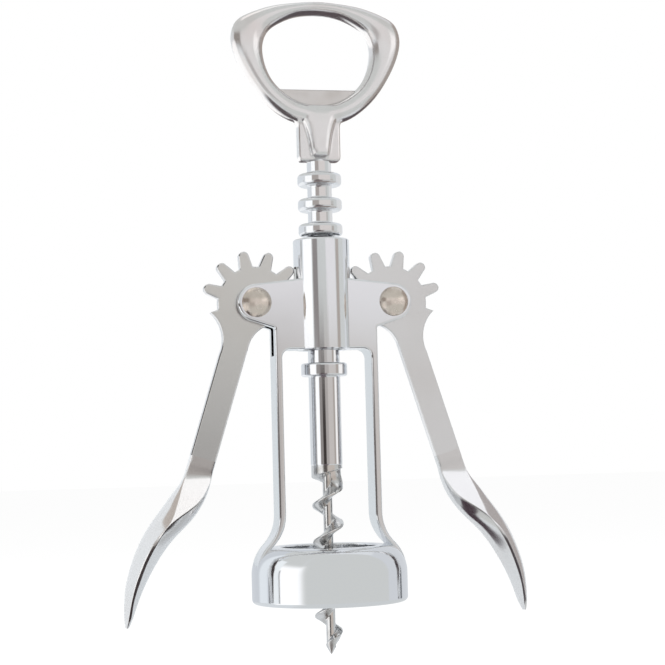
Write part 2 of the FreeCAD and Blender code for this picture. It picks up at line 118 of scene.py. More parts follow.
# Studio: the floor's height and half width, the cards' sphere and its middle, and the black behind
FLOOR_Z, FLOOR_HALF = -120.0, 9000.0
CARDS_R, CARDS_STEP, BACKSTOP_R, CARDS_MIDDLE_Z = 2400.0, 15.0, 2600.0, 60.0


# ---------------------------------------------------------------- shells: (points, faces)
def lattice(points, close_u=False, close_v=False, flip=False):
    """Quads over a grid of points[u, v]; either way round can be closed into a loop."""
    nu, nv = points.shape[:2]
    index = np.arange(nu * nv).reshape(nu, nv)
    u = np.arange(nu if close_u else nu - 1)
    v = np.arange(nv if close_v else nv - 1)
    a = index[np.ix_(u, v)]
    b = index[np.ix_((u + 1) % nu, v)]
    c = index[np.ix_((u + 1) % nu, (v + 1) % nv)]
    d = index[np.ix_(u, (v + 1) % nv)]
    quads = np.stack([a, b, c, d], -1).reshape(-1, 4)
    return points.reshape(-1, 3), (quads[:, ::-1] if flip else quads).tolist()


def steady(line, gap=0.12):
    """Support points a little way in from both ends of each longer straight of an outline, so that
    smooth shading keeps the straight between them straight."""
    line = np.asarray(line, float)
    size = np.linalg.norm(np.diff(line, axis=0), axis=1)
    corner = np.arange(len(line), dtype=float)
    long = np.flatnonzero(size > 5 * gap)
    at = np.sort(np.concatenate([corner, long + gap / size[long], long + 1 - gap / size[long]]))
    return np.stack([np.interp(at, corner, line[:, k]) for k in range(line.shape[1])], 1)


def turned(profile, sides=96, axis="z", centre=(0.0, 0.0, 0.0)):
    """Surface of revolution: radius and height pairs carried round an axis; ends on it are poles."""
    profile = steady(profile)
    turn = np.linspace(0, 2 * math.pi, sides, endpoint=False)
    radius, height = profile[:, :1], profile[:, 1:]
    around = radius * np.cos(turn), radius * np.sin(turn), height + 0 * turn
    order = (0, 1, 2) if axis == "z" else (0, 2, 1)
    points = np.stack([around[k] for k in order], -1) + np.array(centre)
    closed = bool(np.allclose(profile[0], profile[-1]))
    return lattice(points[:-1] if closed else points, close_u=closed, close_v=True)


def slab(outline, y_front, y_back, round_front, round_back, closed=True, steps=6):
    """Flat solid over an outline in x and z: each row of points is the outline moved in along its
    own normal while y follows a quarter circle, so both rims are rounded."""
    outline = np.asarray(outline, float)
    ahead = np.roll(outline, -1, 0) - outline
    behind = outline - np.roll(outline, 1, 0)
    if not closed:
        ahead[-1], behind[0] = behind[-1], ahead[0]
    ahead /= np.linalg.norm(ahead, axis=1, keepdims=True)
    behind /= np.linalg.norm(behind, axis=1, keepdims=True)
    inward = np.stack([-(ahead + behind)[:, 1], (ahead + behind)[:, 0]], 1)
    inward /= np.maximum((inward ** 2).sum(1, keepdims=True) / 2, 0.6)
    step = np.linalg.norm(np.diff(outline, axis=0), axis=1).mean()
    bend = np.arcsin(np.clip(behind[:, 0] * ahead[:, 1] - behind[:, 1] * ahead[:, 0], -1, 1)) / step
    room = 0.6 / np.maximum(bend, 0.1)
    room = np.minimum.reduce([np.roll(room, k) + 0.3 * abs(k) * step for k in range(-24, 25)])
    full = max(round_front, round_back, 0.01) + 0.12
    inward *= np.minimum(room / full, 1.0)[:, None]
    rows = []
    bend = np.linspace(0, math.pi / 2, steps)
    if round_front:
        rows += [(round_front + 0.12, y_front)]
        rows += [(round_front * (1 - math.sin(a)), y_front + round_front * (1 - math.cos(a))) for a in bend]
    else:
        rows += [(0.0, y_front)]
    if round_back:
        rows += [(round_back * (1 - math.sin(a)), y_back - round_back * (1 - math.cos(a)))
                 for a in bend[::-1]]
        rows += [(round_back + 0.12, y_back)]
    else:
        rows += [(0.0, y_back)]
    layers = []
    for inset, y in rows:
        flat = outline + inset * inward
        layers.append(np.stack([flat[:, 0], np.full(len(flat), y), flat[:, 1]], 1))
    points, faces = lattice(np.array(layers), close_v=True)
    count = len(outline)
    faces.append(list(range(count)))
    faces.append(list(range(len(points) - 1, len(points) - count - 1, -1)))
    return points, faces


def capped(points):
    """Tube of rows points[u, v] round v, with both end rows closed by a face."""
    nu, nv = points.shape[:2]
    flat, faces = lattice(points, close_v=True)
    faces.append(list(range(nv))[::-1])
    faces.append(list(range((nu - 1) * nv, nu * nv)))
    return flat, faces


def mirrored(shell):
    """Same shell on the other side of the screw's line."""
    points, faces = shell
    return points * np.array([-1.0, 1.0, 1.0]), [face[::-1] for face in faces]


def moved(shell, x, z):
    """Same shell shifted sideways and up."""
    points, faces = shell
    return points + np.array([x, 0.0, z]), faces


def piece(name, shells, body, node, material, crease=32.0, fuse=1e-7):
    """One mesh object from shells in millimetres: doubles merged, faces turned outwards, smooth between
    creases, then given its material slot and tied to its body, with the CAD node it stands for hidden."""
    points, faces, start = [], [], 0
    for shell_points, shell_faces in shells:
        points.append(np.asarray(shell_points) * 0.001)
        faces += [[index + start for index in face] for face in shell_faces]
        start += len(shell_points)
    mesh = bpy.data.meshes.new(name)
    mesh.from_pydata(np.concatenate(points).tolist(), [], faces)
    work = bmesh.new()
    work.from_mesh(mesh)
    bmesh.ops.remove_doubles(work, verts=work.verts, dist=fuse)
    bmesh.ops.dissolve_degenerate(work, edges=work.edges, dist=1e-8)
    bmesh.ops.recalc_face_normals(work, faces=work.faces)
    work.to_mesh(mesh)
    work.free()
    mesh.polygons.foreach_set("use_smooth", np.ones(len(mesh.polygons), bool))
    mesh.set_sharp_from_angle(angle=math.radians(crease))
    obj = bpy.data.objects.new(name, mesh)
    bpy.context.scene.collection.objects.link(obj)
    mesh.materials.append(material)
    if node:
        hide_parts(node)
    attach(obj, body)
    return obj


# ---------------------------------------------------------------- plane curves
def arc(centre, radius, start, end, count):
    """Points of a circle from one angle to another, in degrees."""
    turn = np.radians(np.linspace(start, end, count))
    return np.stack([centre[0] + radius * np.cos(turn), centre[1] + radius * np.sin(turn)], 1)


def three_point(a, b, c, count=16):
    """Arc from a through b to c: the centre is where the chords' bisectors cross."""
    a, b, c = (np.array(p, float) for p in (a, b, c))
    rows = np.array([b - a, c - b])
    centre = np.linalg.solve(rows, ((b ** 2 - a ** 2).sum() / 2, (c ** 2 - b ** 2).sum() / 2))
    angles = [math.atan2(*(p - centre)[::-1]) for p in (a, b, c)]
    span = (angles[2] - angles[0]) % (2 * math.pi)
    if (angles[1] - angles[0]) % (2 * math.pi) > span:
        span -= 2 * math.pi
    first = math.degrees(angles[0])
    return arc(centre, np.linalg.norm(a - centre), first, first + math.degrees(span), count)


def spline(knots, values, at):
    """Natural cubic spline through values at knots: second derivatives from one linear system."""
    knots, values, at = np.asarray(knots, float), np.asarray(values, float), np.asarray(at, float)
    n = len(knots)
    gap = np.diff(knots)
    system, right = np.eye(n), np.zeros(values.shape)
    for k in range(1, n - 1):
        system[k, k - 1:k + 2] = gap[k - 1], 2 * (gap[k - 1] + gap[k]), gap[k]
        right[k] = 6 * ((values[k + 1] - values[k]) / gap[k] - (values[k] - values[k - 1]) / gap[k - 1])
    bend = np.linalg.solve(system, right)
    k = np.clip(np.searchsorted(knots, at) - 1, 0, n - 2)
    a = ((knots[k + 1] - at) / gap[k])[:, None]
    b = 1 - a
    scale = (gap[k] ** 2 / 6)[:, None]
    return a * values[k] + b * values[k + 1] + ((a ** 3 - a) * bend[k] + (b ** 3 - b) * bend[k + 1]) * scale


def even(line, step):
    """The same open line with points at equal steps along it."""
    line = np.asarray(line, float)
    run = np.r_[0, np.cumsum(np.linalg.norm(np.diff(line, axis=0), axis=1))]
    at = np.linspace(0, run[-1], max(2, int(run[-1] / step)))
    return np.stack([np.interp(at, run, line[:, 0]), np.interp(at, run, line[:, 1])], 1)


def soften(line, step, width):
    """Open line with its corners eased: a moving average along evenly spaced points, ends kept."""
    points = even(line, step)
    reach = max(1, int(width / step))
    weights = np.hanning(2 * reach + 3)[1:-1]
    weights /= weights.sum()
    before = 2 * points[0] - points[reach:0:-1]
    after = 2 * points[-1] - points[-2:-reach - 2:-1]
    padded = np.concatenate([before, points, after])
    return np.stack([np.convolve(padded[:, k], weights, "valid") for k in range(2)], 1)


def ring_radii(shares, half_width, low, tall, centre_z, angles):
    """Distance from the ring's middle to a closed edge, for each angle round the ring."""
    right = np.array([(x * half_width, low + z * tall) for x, z in shares])
    loop = np.concatenate([right, right[-2:0:-1] * [-1, 1]])
    wrap = np.concatenate([loop[-4:], loop, loop[:5]])
    at = np.linspace(0, len(loop), 800, endpoint=False)
    fine = spline(np.arange(-4, len(loop) + 5), wrap, at)
    turn = np.arctan2(fine[:, 1] - centre_z, fine[:, 0])
    distance = np.hypot(fine[:, 0], fine[:, 1] - centre_z)
    order = np.argsort(turn)
    return np.interp(angles, turn[order], distance[order], period=2 * math.pi)


def signed_power(value, power):
    """|value| to a power with the sign kept: rounds or squares an ellipse's cosine and sine."""
    return np.sign(value) * np.abs(value) ** power


# ---------------------------------------------------------------- materials
def linear(code):
    """sRGB hex to linear colour."""
    parts = [int(code[k:k + 2], 16) / 255 for k in (1, 3, 5)]
    return [c / 12.92 if c <= 0.04045 else ((c + 0.055) / 1.055) ** 2.4 for c in parts] + [1.0]


def add(tree, kind, settings=None, **links):
    """One node with its settings and links. A link is named for its socket, with _ for a space, or
    n0, n1 and so on where sockets share one name."""
    node = tree.nodes.new(kind)
    for key, value in (settings or {}).items():
        if key in node.inputs:
            node.inputs[key].default_value = value
        else:
            setattr(node, key, value)
    for key, socket in links.items():
        name = key.replace("_", " ")
        tree.links.new(socket, node.inputs[int(key[1:])] if key[0] == "n" and key[1:].isdigit()
                       else node.inputs[name])
    return node


def blank(name):
    """New material and its emptied node tree."""
    material = bpy.data.materials.new(name)
    material.use_nodes = True
    material.node_tree.nodes.clear()
    return material, material.node_tree


def plated(name, colour, rough, wave_mm, wave, scuff_mm, scuff, tint=None, tint_share=0.0):
    """Plated metal: a slow wave of the casting under the plate, fine scuffs in the gloss, and a
    faint patchy tint where polish or handling changed the plate."""
    material, tree = blank(name)
    where = add(tree, "ShaderNodeTexCoord").outputs["Object"]
    slow = add(tree, "ShaderNodeTexNoise", {"Scale": 1000 / wave_mm, "Detail": 1.0}, Vector=where)
    fine = add(tree, "ShaderNodeTexNoise", {"Scale": 1000 / scuff_mm, "Detail": 3.0}, Vector=where)
    bump = add(tree, "ShaderNodeBump", {"Strength": 1.0, "Distance": wave * 0.001},
               Height=slow.outputs["Fac"])
    bump = add(tree, "ShaderNodeBump", {"Strength": 1.0, "Distance": scuff * 0.001},
               Height=fine.outputs["Fac"], Normal=bump.outputs["Normal"])
    gloss = add(tree, "ShaderNodeMapRange", {"From Min": 0.3, "From Max": 0.7, "To Min": rough * 0.88,
                "To Max": rough * 1.15}, Value=slow.outputs["Fac"])
    shader = add(tree, "ShaderNodeBsdfPrincipled", {"Metallic": 1.0, "Base Color": linear(colour)},
                 Roughness=gloss.outputs["Result"], Normal=bump.outputs["Normal"])
    if tint:
        patch = add(tree, "ShaderNodeTexNoise", {"Scale": 1000 / (wave_mm * 1.7), "Detail": 2.0},
                    Vector=where)
        share = add(tree, "ShaderNodeMapRange", {"From Min": 0.45, "From Max": 0.75, "To Min": 0.0,
                    "To Max": tint_share}, Value=patch.outputs["Fac"])
        mix = add(tree, "ShaderNodeMix", {"data_type": "RGBA"})
        tree.links.new(share.outputs["Result"], mix.inputs[0])
        mix.inputs[6].default_value = linear(colour)
        mix.inputs[7].default_value = linear(tint)
        tree.links.new(mix.outputs[2], shader.inputs["Base Color"])
    out = add(tree, "ShaderNodeOutputMaterial")
    tree.links.new(shader.outputs["BSDF"], out.inputs["Surface"])
    return material


# Bright chrome plate over a polished zinc casting: mirror-like with a faint slow wave
frame_chrome = plated("bright_chrome_on_casting", "#E9EAEC", 0.08, 9.0, 0.010, 0.7, 0.0001)
# The same plate on turned steel: straighter reflections
turned_chrome = plated("bright_chrome_on_turned_steel", "#E6E7E9", 0.07, 16.0, 0.004, 0.5, 0.0001)
# Satin chrome on flat tumbled castings: grey and softly blurred
lever_chrome = plated("satin_chrome_on_flat_casting", "#E4E3E3", 0.15, 14.0, 0.020, 0.9, 0.0001,
                      "#D8D3D0", 0.4)
# Soft hand-polished plate on the ring, with faint warm patches
handle_chrome = plated("soft_polished_chrome_on_ring", "#E5E4E4", 0.19, 8.0, 0.020, 0.9, 0.0002,
                       "#DDD3D0", 0.5)
# Nickel-plated mild steel rivet: warmer and a little duller
rivet_nickel = plated("nickel_plated_rivet", "#DCD2C8", 0.25, 3.0, 0.010, 0.5, 0.0004,
                      "#B0A499", 0.55)
# The ledge sits set back in the ring's hole: duller than the ring round it, and a little darker, with a
# darker base colour and tint that are painted shade for that recess
ledge_chrome = plated("rough_chrome_on_ledge_painted_shade", "#DAD7D5", 0.32, 5.0, 0.020, 0.8, 0.0006,
                      "#B3ABA4", 0.5)
# Plate that stayed rough in the worm's thread
worm_chrome = plated("dull_chrome_on_cut_worm", "#D8D8D8", 0.17, 1.6, 0.020, 0.35, 0.0025,
                     "#A8A49F", 0.6)


# ---------------------------------------------------------------- rack sleeve, screw and rivets
def rack():
    """Rings on a tube: the outer line steps from root to ring with small fillets and round rims."""
    low = TOP_RING - (RING_COUNT - 1) * RACK_PITCH - RING_THICK / 2
    line = [(ROD_R + 0.05, low)]
    for number in range(RING_COUNT):
        foot = low + number * RACK_PITCH
        top = foot + RING_THICK
        if number:
            line += [(RACK_ROOT_R, foot - 0.45), (RACK_ROOT_R + 0.13, foot - 0.13),
                     (RACK_ROOT_R + 0.45, foot)]
        line += arc((RING_R - RING_ROUND, foot + RING_ROUND), RING_ROUND, -90, 0, 10).tolist()
        line += arc((RING_R - RING_ROUND, top - RING_ROUND), RING_ROUND, 0, 90, 10).tolist()
        line += [(RACK_ROOT_R + 0.45, top), (RACK_ROOT_R + 0.13, top + 0.13), (RACK_ROOT_R, top + 0.45)]
    line += [(RACK_ROOT_R, STEM_LOW - 0.1), (ROD_R + 0.05, STEM_LOW - 0.1), (ROD_R + 0.05, low)]
    return turned(line)


def screw_shaft():
    """Rod, shank and stop collar in one turned line."""
    foot = COLLAR_TOP - COLLAR_H
    line = [(0.0, SHANK_END - 4.0), (1.0, SHANK_END - 4.0), (1.0, SHANK_END - 0.4),
            (SHANK_R - 0.25, SHANK_END - 0.4), (SHANK_R, SHANK_END), (SHANK_R, foot - 0.3),
            (SHANK_R + 0.1, foot - 0.06), (SHANK_R + 0.35, foot)]
    line += arc((COLLAR_R - 0.6, foot + 0.6), 0.6, -90, 0, 8).tolist()
    line += arc((COLLAR_R - 0.6, COLLAR_TOP - 0.6), 0.6, 0, 90, 8).tolist()
    line += [(SHANK_R, COLLAR_TOP), (SHANK_R, SHANK_TOP - 0.2), (SHANK_R - 0.2, SHANK_TOP),
             (ROD_R, SHANK_TOP), (ROD_R, STEM_LOW + 10), (0.0, STEM_LOW + 10)]
    return turned(line)


def worm():
    """Right-handed auger: one radial line, carried up its own helix. Across a turn the radius falls
    from the crest's land to the core; the land widens into the shank above and a cone cuts the point."""
    turns = (SHANK_END + 1.5 - WORM_TIP) / WORM_LEAD + 1.2
    along = np.linspace(0, turns, int(turns * 72))[:, None]
    across = np.linspace(-0.5, 0.5, 41)[None, :] * WORM_LEAD
    low = WORM_TIP - 0.6 * WORM_LEAD
    height = low + along * WORM_LEAD + across
    angle = math.pi + 2 * math.pi * (low + along * WORM_LEAD - WORM_CREST_Z) / WORM_LEAD
    rise = np.clip((height - RUNOUT_LOW) / RUNOUT_TALL, 0, 1)
    land = CREST_LAND + (WORM_LEAD / 2) * rise ** 2
    flank = np.clip((land + FLANK_W - np.abs(across)) / FLANK_W, 0, 1)
    radius = WORM_CORE + (WORM_R - WORM_CORE) * flank ** 1.2
    cone = np.clip((height - WORM_TIP) / WORM_POINT, 0, 1) ** 0.85 * WORM_R
    radius = np.minimum(radius, cone)
    height = np.clip(height, WORM_TIP, SHANK_END + 1.0)
    points = np.stack([radius * np.cos(angle), radius * np.sin(angle), height + 0 * angle], -1)
    return lattice(points)


def rivet():
    """Two shallow domes on a shank: each dome is part of a sphere with a short straight rim."""
    base, rise = RIVET_HEAD_R, RIVET_HEAD_H
    sphere = (base ** 2 + rise ** 2) / (2 * rise)
    sweep = math.asin(base / sphere)
    turn = np.linspace(0, sweep, 14)
    dome = np.stack([sphere * np.sin(turn), HALF_DEPTH + rise - sphere * (1 - np.cos(turn))], 1)
    line = np.concatenate([dome * [1, -1], [(base, -HALF_DEPTH), (RIVET_R, -HALF_DEPTH)],
                           [(RIVET_R, HALF_DEPTH), (base, HALF_DEPTH)], dome[::-1]])
    return turned(line, 72, "y", (-PIVOT_X, 0.0, PIVOT_Z))


# ---------------------------------------------------------------- levers
def shank_at(along, across):
    """Point on the left lever: along its shank from the pivot, and across it outwards."""
    s, c = math.sin(SHANK_LEAN), math.cos(SHANK_LEAN)
    return (-s * along - c * across, -c * along + s * across)


def lever_head():
    """Toothed sector, spur and upper shank: flanks are straight, tips and roots are arcs."""
    steps = round((TOP_RING - PIVOT_Z) / RACK_PITCH)
    phase = math.degrees((TOP_RING - steps * RACK_PITCH - PIVOT_Z) / PITCH_R) + FIRST_TOOTH
    shoulder_r = TOOTH_TIP_R - TOOTH_TIP_W / 2.4
    half_base = math.degrees(TOOTH_BASE_W / 2 / TOOTH_ROOT_R)
    half_tip = math.degrees(TOOTH_TIP_W / 2 / shoulder_r)

    def polar(radius, angle):
        return (radius * math.cos(math.radians(angle)), radius * math.sin(math.radians(angle)))

    line = [shank_at(BEND[0], INNER), shank_at(TOOTH_ROOT_R * 1.2, INNER)]
    line += three_point(line[-1], polar(TOOTH_ROOT_R * 0.79, -87),
                        polar(TOOTH_ROOT_R * 0.73, -53)).tolist()
    for number in range(TOOTH_COUNT):
        angle = phase + number * TOOTH_STEP
        line += [polar(TOOTH_ROOT_R, angle - half_base)]
        line += three_point(polar(shoulder_r, angle - half_tip), polar(TOOTH_TIP_R, angle),
                            polar(shoulder_r, angle + half_tip)).tolist()
        end = angle + TOOTH_STEP - half_base if number < TOOTH_COUNT - 1 else SPUR_ANGLE - 2
        line += arc((0, 0), TOOTH_ROOT_R, angle + half_base, end, 12).tolist()
    line += [polar(TOOTH_ROOT_R + SPUR_RISE, SPUR_ANGLE)]
    line += three_point(line[-1], polar(TOOTH_ROOT_R * 1.22, 222.5),
                        shank_at(TOOTH_ROOT_R * 1.6, OUTER)).tolist()
    line += [shank_at(BEND[0], OUTER)]
    keep = [line[0]]
    for point in line[1:]:
        if math.dist(point, keep[-1]) > 1e-4:
            keep.append(point)
    outline = soften(keep, 0.12, 0.24)
    half = LEVER_THICK / 2
    return slab(outline, -half, half, TOOTH_RIM, TOOTH_RIM, closed=False)


def lever_arm():
    """Shank and wing grip: each cross line is two flats in front and behind, and two bowed sides
    whose depth follows the share |y / h| to a power; stations are joined by a spline."""
    half = LEVER_THICK / 2
    ease = 0.4
    stations = []
    for along in BEND:
        out, into = shank_at(along, OUTER), shank_at(along, INNER)
        stations.append([*out, *into, ease / SHANK_W, 1 - ease / SHANK_W, half, 12.0])
    for drop, out, flat_out, flat_in, into, depth, power in GRIP:
        width = into - out
        stations.append([out, -drop, into, -drop, (flat_out - out) / width, (flat_in - out) / width,
                         depth, power])
    stations = np.array(stations)
    middle = (stations[:, 0:2] + stations[:, 2:4]) / 2
    run = np.r_[0, np.cumsum(np.linalg.norm(np.diff(middle, axis=0), axis=1))]
    at = np.concatenate([np.linspace(0, run[3], 12, endpoint=False), np.linspace(run[3], run[-1], 150)])
    rows = spline(run, stations, at)
    straight = at <= run[3]
    for column in range(8):
        rows[straight, column] = np.interp(at[straight], run[:4], stations[:4, column])
    rows[:, 7] = np.interp(at, run, stations[:, 7])
    rows[:, 6] = np.maximum(rows[:, 6], 0.4)
    turn = np.linspace(-math.pi / 2, math.pi / 2, 25)
    level = np.sin(turn)
    sections = []
    for x0, z0, x1, z1, flat0, flat1, depth, power in rows:
        bow = np.abs(level) ** power
        across = np.concatenate([np.linspace(flat0, flat1, 12)[:-1],
                                 1 - (1 - flat1) * bow, np.linspace(flat1, flat0, 12)[1:-1],
                                 flat0 * bow[::-1]])
        y = np.concatenate([np.full(11, -1.0), level, np.full(10, 1.0), level[::-1]]) * depth
        sections.append(np.stack([x0 + across * (x1 - x0), y, z0 + across * (z1 - z0)], 1)[:-1])
    sections = np.array(sections)
    for _ in range(3):
        eased = (np.roll(sections, 1, 1) + 2 * sections + np.roll(sections, -1, 1)) / 4
        share = np.clip((at - run[3]) / 4, 0, 1)[:, None, None]
        sections = sections + share * (eased - sections)
    return capped(sections)


# ---------------------------------------------------------------- frame casting
def flare(end_x, start_x, end_z):
    """S-shaped pair of equal arcs from the leg's line out to the bell's side."""
    out, down = end_x + start_x, FLARE_Z - end_z
    half = math.atan2(out, down)
    radius = math.hypot(out, down) / 4 / math.sin(half)
    turn = np.linspace(0, 2 * half, 14)
    upper = np.stack([start_x - radius * (1 - np.cos(turn)), FLARE_Z - radius * np.sin(turn)], 1)
    lower = np.stack([start_x - out + radius * (1 - np.cos(turn)), end_z + radius * np.sin(turn)], 1)[::-1]
    return np.concatenate([upper, lower[1:]])


def hook_outlines():
    """Left web, lug and leg seen from the front, and the same without the round of the gear slot."""
    pivot = (-PIVOT_X, PIVOT_Z)
    inner_end = -math.sqrt(BARREL_R ** 2 - HALF_DEPTH ** 2) + 0.25
    boss_top = arc(pivot, BOSS_R, 90 + FORK_LEAN, 90 + FORK_LEAN, 1)[0]
    root = (inner_end, boss_top[1] + (inner_end - boss_top[0]) * math.tan(math.radians(FORK_LEAN)))
    reach = math.hypot(-LEG_OUT + PIVOT_X, HEEL_Z - PIVOT_Z)
    heel_angle = math.degrees(math.atan2(HEEL_Z - PIVOT_Z, -LEG_OUT + PIVOT_X))
    low_angle = heel_angle - math.degrees(math.acos(BOSS_R / reach))
    web = BARREL_LOW + 0.15
    leg = np.concatenate([flare(BELL_R, -LEG_OUT, BELL_SIDE),
                          flare(BELL_R - (LEG_OUT - LEG_IN), -LEG_IN, BELL_SIDE)[::-1],
                          arc((-LEG_IN + WEB_CORNER, web - WEB_CORNER), WEB_CORNER, 180, 90, 10),
                          [(inner_end, web)]])
    head = np.concatenate([[root], arc(pivot, BOSS_R, 90 + FORK_LEAN, 360 + low_angle, 40)])
    start = math.degrees(math.acos((PIVOT_X - LEG_OUT) / SLOT_R))
    end = math.degrees(math.acos((PIVOT_X + inner_end) / SLOT_R))
    slot = arc(pivot, SLOT_R, -end, -start, 30)
    return np.concatenate([head, [(-LEG_OUT, HEEL_Z)], leg]), np.concatenate([slot, leg])


def wrapped(shell):
    """The leg's foot follows the bell: x gives way by the round of a cylinder as it nears the side."""
    points, faces = shell
    points = points.copy()
    share = np.clip((-points[:, 0] - LEG_OUT) / (BELL_R - LEG_OUT), 0, 1) * (points[:, 2] < FLARE_Z)
    points[:, 0] += share * (BELL_R - np.sqrt(BELL_R ** 2 - points[:, 1] ** 2)) + share * 0.05
    return points, faces


def frame_shells():
    """Barrel with gear windows, and hooks in three layers each."""
    full, filler = hook_outlines()
    shells = []
    for line, front, back, round_front, round_back in (
            (full, -HALF_DEPTH, -SLOT_HALF, HOOK_RIM, 0.0),
            (full, SLOT_HALF, HALF_DEPTH, 0.0, HOOK_RIM),
            (filler, -SLOT_HALF, SLOT_HALF, 0.0, 0.0)):
        outline = soften(line, 0.35, 0.5)
        hook = wrapped(slab(outline, front, back, round_front, round_back, closed=False))
        shells += [hook, mirrored(hook)]
    low, high = PIVOT_Z - WINDOW_HALF, PIVOT_Z + WINDOW_HALF
    lower = [(BORE_R + 0.3, BARREL_LOW), (BARREL_R - 0.3, BARREL_LOW), (BARREL_R, BARREL_LOW + 0.3),
             (BARREL_R, low), (BORE_R, low), (BORE_R, BARREL_LOW + 0.3), (BORE_R + 0.3, BARREL_LOW)]
    upper = [(BORE_R, high), (BARREL_R, high), (BARREL_R, BARREL_TOP - 0.5)]
    upper += arc((BARREL_R - 0.5, BARREL_TOP - 0.5), 0.5, 10, 90, 8).tolist()
    upper += arc((BORE_R + 0.3, BARREL_TOP - 0.3), 0.3, 90, 180, 5).tolist() + [(BORE_R, high)]
    shells += [turned(lower, 144), turned(upper, 144)]
    edge = math.asin(SLOT_HALF / BARREL_R)
    for side in (0, math.pi):
        turn = np.linspace(edge, math.pi - edge, 66) + side
        wall = np.array([(BARREL_R, low), (BARREL_R, high), (BORE_R, high), (BORE_R, low)])
        rows = np.stack([wall[:, 0] * np.cos(turn)[:, None], wall[:, 0] * np.sin(turn)[:, None],
                         wall[:, 1] + 0 * turn[:, None]], -1)
        shells.append(capped(rows))
    return shells


def bell():
    """Bell's turned line: foot, straight side, oval shoulder, top hole, ledge and mouth."""
    turn = np.linspace(0, math.pi / 2, 22)
    shoulder = np.stack([BELL_TOP_R + (BELL_R - BELL_TOP_R) * np.cos(turn),
                         BELL_SIDE + (BELL_TOP - BELL_SIDE) * np.sin(turn)], 1)
    line = arc((BELL_MOUTH_R + 0.25, 0.25), 0.25, 180, 270, 5).tolist()
    line += arc((BELL_R - 1.3, 1.3), 1.3, -90, 0, 12).tolist()
    line += shoulder.tolist() + arc((BELL_HOLE_R + 0.4, BELL_TOP - 0.4), 0.4, 90, 180, 5).tolist()
    line += [(BELL_HOLE_R, BELL_MOUTH_DEPTH + 0.1), (BELL_HOLE_R + 0.1, BELL_MOUTH_DEPTH)]
    line += arc((BELL_MOUTH_R - 0.5, BELL_MOUTH_DEPTH - 0.5), 0.5, 90, 0, 6).tolist() + [line[0]]
    return turned(line, 160)


# ---------------------------------------------------------------- handle
def handle_ring():
    """Oval section carried round the ring: at each angle it spans from the hole's edge to the outer
    edge, and bulges to the front and back like a rounded oval."""
    angle = np.linspace(0, 2 * math.pi, 260, endpoint=False)
    outer = ring_radii(RING_EDGE, RING_HALF_W, RING_LOW, RING_TALL, RING_MIDDLE_Z, angle)
    inner = ring_radii(HOLE_EDGE, HOLE_HALF_W, HOLE_LOW, HOLE_TALL, RING_MIDDLE_Z, angle)
    turn = np.linspace(0, 2 * math.pi, 64, endpoint=False)
    middle, half = (outer + inner)[:, None] / 2, (outer - inner)[:, None] / 2
    radius = middle + half * signed_power(np.cos(turn), RING_WIDTH_POWER)
    depth = RING_HALF_D * signed_power(np.sin(turn), RING_DEPTH_POWER) + 0 * radius
    points = np.stack([radius * np.cos(angle)[:, None], depth,
                       RING_MIDDLE_Z + radius * np.sin(angle)[:, None]], -1)
    return lattice(points, True, True)


def handle_stem():
    """Flat wings with round sides, and a rib of squared ovals that widens up into the ring's point."""
    inner, low = STEM_HALF_W - STEM_ROUND, STEM_LOW + STEM_ROUND
    corners = np.concatenate([arc((-inner, low), STEM_ROUND, 180, 270, 8),
                              arc((inner, low), STEM_ROUND, 270, 360, 8)])
    wider, height = np.transpose(STEM_FLARE)
    left = np.stack([-STEM_HALF_W - wider, height], 1)
    outline = np.concatenate([left, corners, (left * [-1, 1])[::-1]])
    wings = slab(even(outline, 0.3), -STEM_HALF_D, STEM_HALF_D, STEM_RIM, STEM_RIM, closed=False)
    level = np.linspace(RIB_WIDTH[0][0], RIB_WIDTH[-1][0], 70)
    width = np.interp(level, *np.transpose(RIB_WIDTH))
    depth = np.interp(level, *np.transpose(RIB_DEPTH))
    turn = np.linspace(0, 2 * math.pi, 56, endpoint=False)
    rows = np.stack([width[:, None] * signed_power(np.cos(turn), RIB_POWER),
                     depth[:, None] * signed_power(np.sin(turn), RIB_POWER),
                     level[:, None] + 0 * turn], -1)
    return [wings, capped(rows)]


def handle_ledge():
    """Thin plate across the lower end of the ring's hole, 1 mm into the ring all round; its straight
    top edge lifts the cap."""
    angle = np.radians(np.linspace(-178, -2, 120))
    edge = ring_radii(HOLE_EDGE, HOLE_HALF_W + 1.0, HOLE_LOW - 1.0, HOLE_TALL + 2.0, RING_MIDDLE_Z, angle)
    line = np.stack([edge * np.cos(angle), RING_MIDDLE_Z + edge * np.sin(angle)], 1)
    line = line[line[:, 1] < LEDGE_Z]
    line = np.concatenate([[(line[0, 0] - 0.3, LEDGE_Z)], line, [(line[-1, 0] + 0.3, LEDGE_Z)]])
    return slab(line, -LEDGE_HALF_D, LEDGE_HALF_D, 0.15, 0.15)


def blended(obj, voxel_mm, passes):
    """Overlapping shells melted into one casting: a voxel skin, then a few smoothing passes."""
    skin = obj.modifiers.new("one_skin", "REMESH")
    skin.mode = "VOXEL"
    skin.voxel_size = voxel_mm * 0.001
    skin.use_smooth_shade = True
    ease = obj.modifiers.new("fettled", "SMOOTH")
    ease.factor = 0.5
    ease.iterations = passes
    return obj


